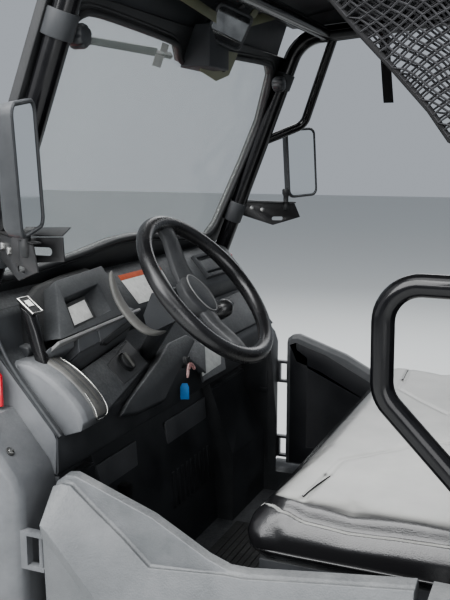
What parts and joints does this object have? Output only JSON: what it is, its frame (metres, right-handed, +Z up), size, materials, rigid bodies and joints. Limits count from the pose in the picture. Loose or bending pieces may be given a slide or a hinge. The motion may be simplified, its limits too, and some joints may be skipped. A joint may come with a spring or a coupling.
{
  "type": "side by side utility vehicle",
  "caption": "Side by side utility vehicle with a bench seat, roll cage, roof, windshield, half doors and a tilting cargo bed with a drop tailgate",
  "frame": {"origin": "On the ground, at the middle of the vehicle's length and width, with the tyres resting on z = 0", "axes": "+X forward, +Y to the driver's side (the vehicle's left), +Z up"},
  "size_m": [2.916, 1.6536, 1.981],
  "materials": {
    "frame_black": "satin black powder coat with light scuffs",
    "body_black": "fine pebble grain, moulded dark grey plastic, dusty",
    "body_red": "glossy red moulded panel",
    "seat_vinyl": "glossy black vinyl with welded channels",
    "tyre_rubber": "dusty black rubber",
    "soft_rubber": "black rubber seal",
    "rim_steel": "black painted steel wheel",
    "bare_steel": "machined and plated steel",
    "cast_metal": "cast alloy housing",
    "screen_glass": "clear laminated windshield",
    "wheel_polymer": "worn glossy black steering wheel skin",
    "net_fabric": "knotted black nylon mesh",
    "lamp_lens": "clear lamp lens",
    "tail_lens": "red lamp lens"
  },
  "bodies": {
    "vehicle": {"bed_pads": "soft_rubber", "chassis_frame": "frame_black", "dash_panel": "body_black", "differentials": "cast_metal", "engine_block": "cast_metal", "floor_pan": "body_black", "front_bumper": "frame_black", "front_control_arms": "frame_black", "front_fascia": "body_black", "front_fenders": "body_black", "gear_selector": "body_black", "half_shafts": "bare_steel", "headlamps": "lamp_lens", "hip_bars": "frame_black", "hood": "body_red", "interior_mirror": "body_black", "pedals": "frame_black", "rear_control_arms": "frame_black", "rear_hub_carriers": "cast_metal", "rear_quarters": "body_black", "roll_cage": "frame_black", "roof_panel": "body_black", "seat_back": "seat_vinyl", "seat_base": "body_black", "seat_cushion": "seat_vinyl", "shocks": "frame_black", "side_mirrors": "body_black", "side_net": "net_fabric", "skid_plate": "body_black", "steering_column": "body_black", "upper_frame": "frame_black", "windshield": "screen_glass", "windshield_frame": "soft_rubber", "wiper_motor": "body_black"},
    "knuckle_left": {"knuckle_left": "cast_metal"},
    "knuckle_right": {"knuckle_right": "cast_metal"},
    "rack": {"tie_rods": "bare_steel"},
    "steering_wheel": {"steering_wheel": "wheel_polymer"},
    "door_left": {"door_left": "body_black"},
    "door_right": {"door_right": "body_black"},
    "bed": {"cargo_bed": "body_black", "tail_lamps": "tail_lens"},
    "tailgate": {"tailgate": "body_black"},
    "wheel_front_left": {"rim_front_left": "rim_steel", "tyre_front_left": "tyre_rubber"},
    "wheel_front_right": {"rim_front_right": "rim_steel", "tyre_front_right": "tyre_rubber"},
    "wheel_rear_left": {"rim_rear_left": "rim_steel", "tyre_rear_left": "tyre_rubber"},
    "wheel_rear_right": {"rim_rear_right": "rim_steel", "tyre_rear_right": "tyre_rubber"}
  },
  "joints": [
    {"name": "steer_left", "type": "hinge", "parent": "vehicle", "child": "knuckle_left", "pos_m": [0.95, 0.56, 0.3175], "axis": [0, 0, 1], "range_deg": [-30, 30]},
    {"name": "steer_right", "type": "hinge", "parent": "vehicle", "child": "knuckle_right", "pos_m": [0.95, -0.56, 0.3175], "axis": [0, 0, 1], "range_deg": [-30, 30]},
    {"name": "rack_slide", "type": "slide", "parent": "vehicle", "child": "rack", "axis": [0, 1, 0], "range_m": [-0.038, 0.038]},
    {"name": "steering_wheel_turn", "type": "hinge", "parent": "vehicle", "child": "steering_wheel", "pos_m": [0.322, 0.411, 1.211], "axis": [-0.7501, 0, 0.6613], "range_deg": [-255, 255]},
    {"name": "wheel_front_left_spin", "type": "hinge", "parent": "knuckle_left", "child": "wheel_front_left", "pos_m": [0.95, 0.62, 0.3175], "axis": [0, 1, 0], "continuous": true},
    {"name": "wheel_front_right_spin", "type": "hinge", "parent": "knuckle_right", "child": "wheel_front_right", "pos_m": [0.95, -0.62, 0.3175], "axis": [0, 1, 0], "continuous": true},
    {"name": "wheel_rear_left_spin", "type": "hinge", "parent": "vehicle", "child": "wheel_rear_left", "pos_m": [-1.001, 0.6, 0.3175], "axis": [0, 1, 0], "continuous": true},
    {"name": "wheel_rear_right_spin", "type": "hinge", "parent": "vehicle", "child": "wheel_rear_right", "pos_m": [-1.001, -0.6, 0.3175], "axis": [0, 1, 0], "continuous": true},
    {"name": "door_left_hinge", "type": "hinge", "parent": "vehicle", "child": "door_left", "pos_m": [0.524, 0.728, 0.6], "axis": [0, 0, -1], "range_deg": [0, 75]},
    {"name": "door_right_hinge", "type": "hinge", "parent": "vehicle", "child": "door_right", "pos_m": [0.524, -0.728, 0.6], "axis": [0, 0, 1], "range_deg": [0, 75]},
    {"name": "bed_tilt", "type": "hinge", "parent": "vehicle", "child": "bed", "pos_m": [-1.2, 0, 0.79], "axis": [0, -1, 0], "range_deg": [0, 42]},
    {"name": "tailgate_hinge", "type": "hinge", "parent": "bed", "child": "tailgate", "pos_m": [-1.44, 0, 0.862], "axis": [0, -1, 0], "range_deg": [0, 90]}
  ],
  "couplings": [
    {"joint": "steer_right", "follows": "steer_left", "ratio": 1},
    {"joint": "rack_slide", "follows": "steer_left", "m_per_rad": -0.0716},
    {"joint": "steering_wheel_turn", "follows": "steer_left", "ratio": 8.4}
  ]
}
